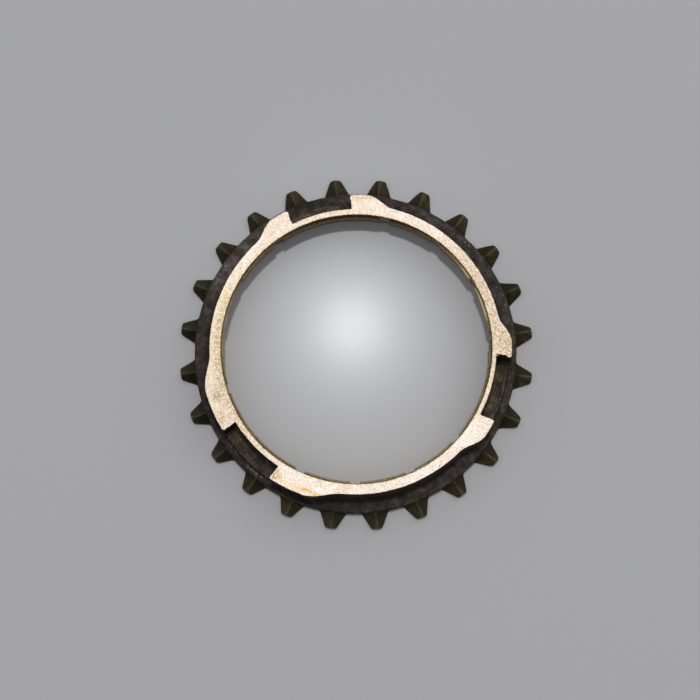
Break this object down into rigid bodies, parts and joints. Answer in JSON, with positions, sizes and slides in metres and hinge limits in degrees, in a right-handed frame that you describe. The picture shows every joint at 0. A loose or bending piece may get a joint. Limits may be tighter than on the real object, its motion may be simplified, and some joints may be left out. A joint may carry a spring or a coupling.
{
  "type": "synchronizer ring",
  "caption": "Forged brass blocker ring for a manual gearbox: a conical friction bore with oil grooves, a flange of pointed blocker teeth, and key slots between raised lugs on a machined face.",
  "frame": {"origin": "centre of the flat gear-side face, on the ring's axis", "axes": "+Z along the ring's axis from the gear side towards the hub side; -Y through the middle of the key slot that has the long lugs; +X completes the right-handed frame"},
  "size_m": [0.0756, 0.0756, 0.0092],
  "materials": {
    "forged_brass": "dark forged skin, with a bright machined hub-side face and a turned cone"
  },
  "bodies": {
    "root": {"synchronizer_ring": "forged_brass"}
  },
  "joints": []
}
